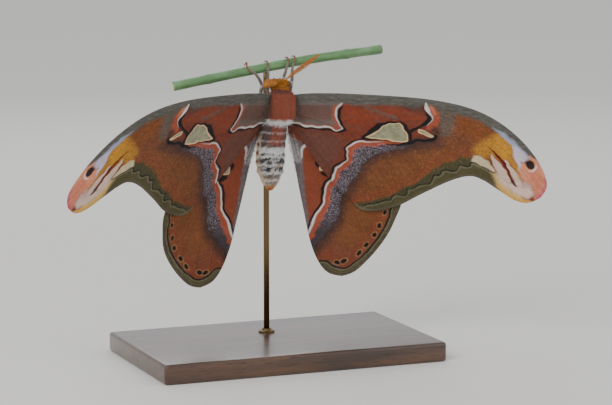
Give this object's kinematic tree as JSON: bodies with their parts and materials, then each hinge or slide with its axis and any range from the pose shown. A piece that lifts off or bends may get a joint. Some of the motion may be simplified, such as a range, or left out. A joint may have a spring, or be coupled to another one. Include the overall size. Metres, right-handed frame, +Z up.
{
  "type": "atlas moth model on a stand",
  "caption": "Life-size atlas moth with spread patterned wings, gripping a cut length of green stem held up by a rod on a flat wooden base.",
  "frame": {"origin": "centre of the underside of the stand's base", "axes": "+Z up towards the moth's head, -Y the side that its back faces, +X its right side"},
  "size_m": [0.25, 0.1067, 0.1572],
  "materials": {
    "wing_scales": "matt scaled wing, red-brown with white, black and lilac bands and clear windows",
    "body_fur": "dense short brick-red fur, ochre on the head, white collar at the waist",
    "abdomen_fur": "short fur ringed in red-brown, grey and white",
    "antenna_comb": "orange-brown comb",
    "leg_fur": "grey-brown fur with reddish feet",
    "eye_lens": "dark glossy compound eye",
    "green_stem": "smooth blue-green plant stem with paler cut ends",
    "stand_wood": "dark satin lacquer",
    "stand_metal": "dark bronzed brass"
  },
  "bodies": {
    "root": {"head": "body_fur", "thorax": "body_fur", "abdomen": "abdomen_fur", "eye_left": "eye_lens", "eye_right": "eye_lens", "antenna_left": "antenna_comb", "antenna_right": "antenna_comb", "forewing_left": "wing_scales", "forewing_right": "wing_scales", "hindwing_left": "wing_scales", "hindwing_right": "wing_scales", "fore_leg_left": "leg_fur", "fore_leg_right": "leg_fur", "mid_leg_left": "leg_fur", "mid_leg_right": "leg_fur", "hind_leg_left": "leg_fur", "hind_leg_right": "leg_fur", "perch_stem": "green_stem", "stand_base": "stand_wood", "stand_rod": "stand_metal"}
  },
  "joints": []
}
